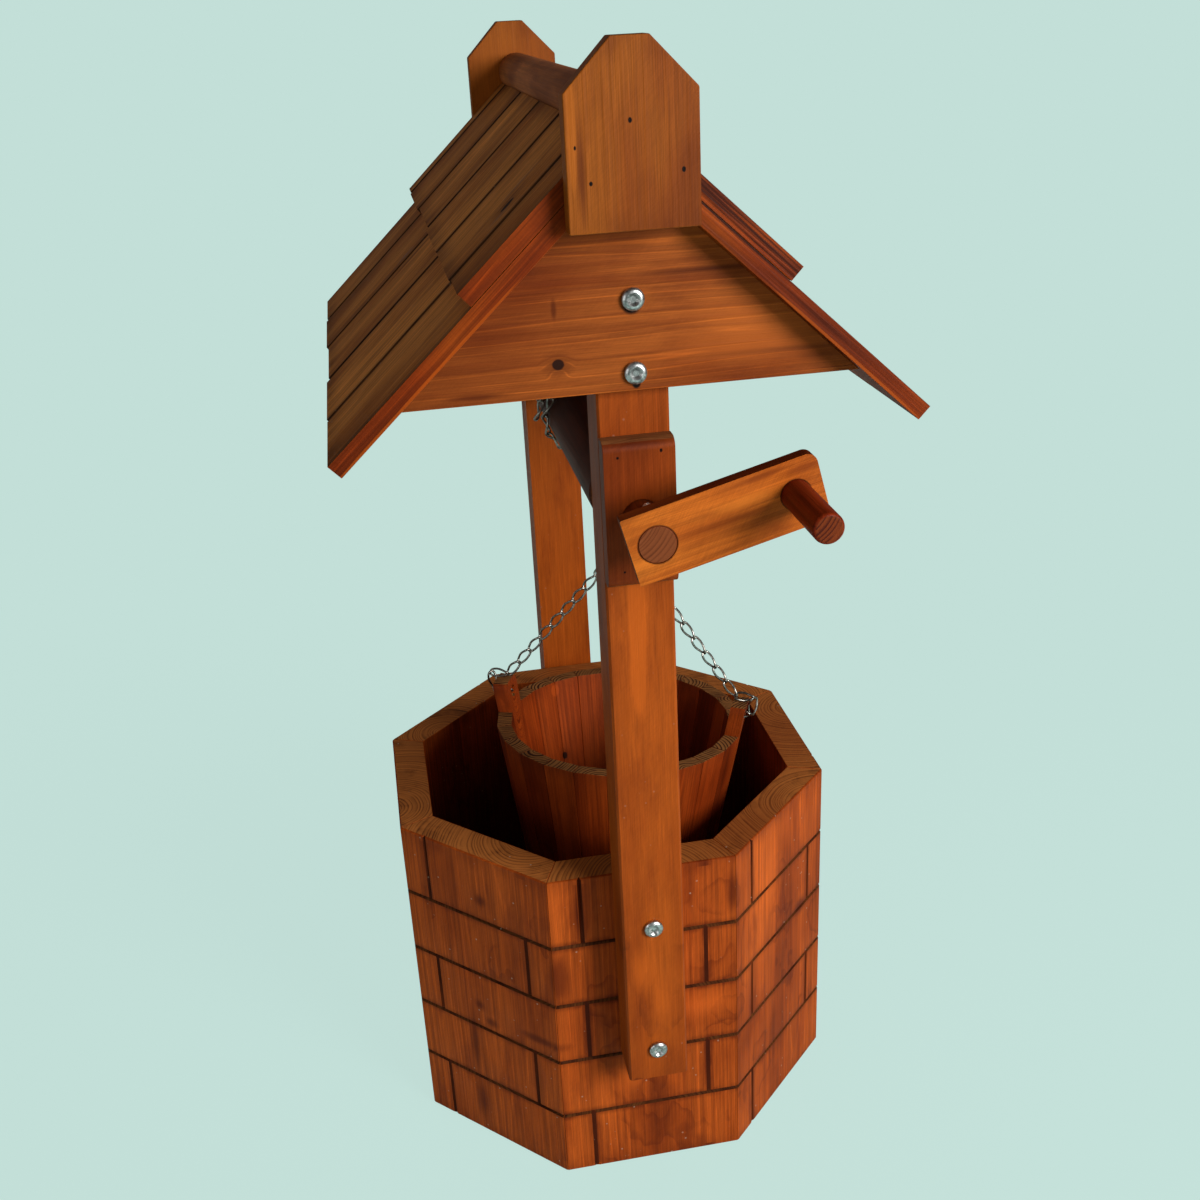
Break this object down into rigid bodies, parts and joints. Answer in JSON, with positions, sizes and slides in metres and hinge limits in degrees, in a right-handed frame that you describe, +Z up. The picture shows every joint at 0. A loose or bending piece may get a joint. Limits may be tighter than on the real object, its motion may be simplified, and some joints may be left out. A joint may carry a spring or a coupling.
{
  "type": "wishing well planter",
  "caption": "Timber wishing well planter: octagonal well with brick pattern, roof on two posts, crank and roller that lift a stave bucket on a chain.",
  "frame": {"origin": "centre of the octagonal well on the ground", "axes": "+Z up; -Y towards the crank handle; +X to the right of someone who faces the crank"},
  "size_m": [0.4846, 0.7723, 1.14],
  "materials": {
    "wall_wood": "stained, satin",
    "post_wood": "stained, satin",
    "gable_wood": "stained, satin",
    "slat_wood": "stained, weathered",
    "finial_wood": "stained, satin",
    "ridge_wood": "stained, satin",
    "crank_wood": "stained, satin",
    "handle_wood": "stained, satin",
    "bucket_wood": "stained, satin",
    "bolt_zinc": "bright zinc",
    "chain_steel": "nickel plated, dull"
  },
  "bodies": {
    "well": {"base_bolt_front_1": "bolt_zinc", "base_bolt_front_2": "bolt_zinc", "base_bolt_rear_1": "bolt_zinc", "base_bolt_rear_2": "bolt_zinc", "bearing_plate": "post_wood", "chain_drop": "chain_steel", "finial_front": "finial_wood", "finial_rear": "finial_wood", "floor_panel": "wall_wood", "gable_bolt_front_1": "bolt_zinc", "gable_bolt_front_2": "bolt_zinc", "gable_bolt_rear_1": "bolt_zinc", "gable_bolt_rear_2": "bolt_zinc", "gable_front": "gable_wood", "gable_rear": "gable_wood", "post_front": "post_wood", "post_rear": "post_wood", "purlin_left": "ridge_wood", "purlin_right": "ridge_wood", "ridge_beam": "ridge_wood", "ridge_pole": "ridge_wood", "slat_left_lower_1": "slat_wood", "slat_left_lower_2": "slat_wood", "slat_left_lower_3": "slat_wood", "slat_left_lower_4": "slat_wood", "slat_left_lower_5": "slat_wood", "slat_left_upper_1": "slat_wood", "slat_left_upper_2": "slat_wood", "slat_left_upper_3": "slat_wood", "slat_left_upper_4": "slat_wood", "slat_left_upper_5": "slat_wood", "slat_left_upper_6": "slat_wood", "slat_right_lower_1": "slat_wood", "slat_right_lower_2": "slat_wood", "slat_right_lower_3": "slat_wood", "slat_right_lower_4": "slat_wood", "slat_right_lower_5": "slat_wood", "slat_right_upper_1": "slat_wood", "slat_right_upper_2": "slat_wood", "slat_right_upper_3": "slat_wood", "slat_right_upper_4": "slat_wood", "slat_right_upper_5": "slat_wood", "slat_right_upper_6": "slat_wood", "wall_board_1": "wall_wood", "wall_board_2": "wall_wood", "wall_board_3": "wall_wood", "wall_board_4": "wall_wood", "wall_board_5": "wall_wood", "wall_board_6": "wall_wood", "wall_board_7": "wall_wood", "wall_board_8": "wall_wood"},
    "windlass": {"roller": "ridge_wood", "axle": "crank_wood", "crank_arm": "crank_wood", "crank_handle": "handle_wood", "chain_wound": "chain_steel"},
    "bucket": {"bucket_shell": "bucket_wood", "bucket_floor": "bucket_wood", "chain_leg_left": "chain_steel", "chain_leg_right": "chain_steel"}
  },
  "joints": [
    {"name": "windlass_turn", "type": "hinge", "parent": "well", "child": "windlass", "pos_m": [0, 0, 0.7705], "axis": [0, -1, 0], "range_deg": [-250, 150]},
    {"name": "bucket_lift", "type": "slide", "parent": "well", "child": "bucket", "axis": [0, 0, 1], "range_m": [-0.162, 0.0972], "deforming": ["chain_drop"]}
  ],
  "couplings": [
    {"joint": "bucket_lift", "follows": "windlass_turn", "m_per_rad": 0.03703}
  ]
}
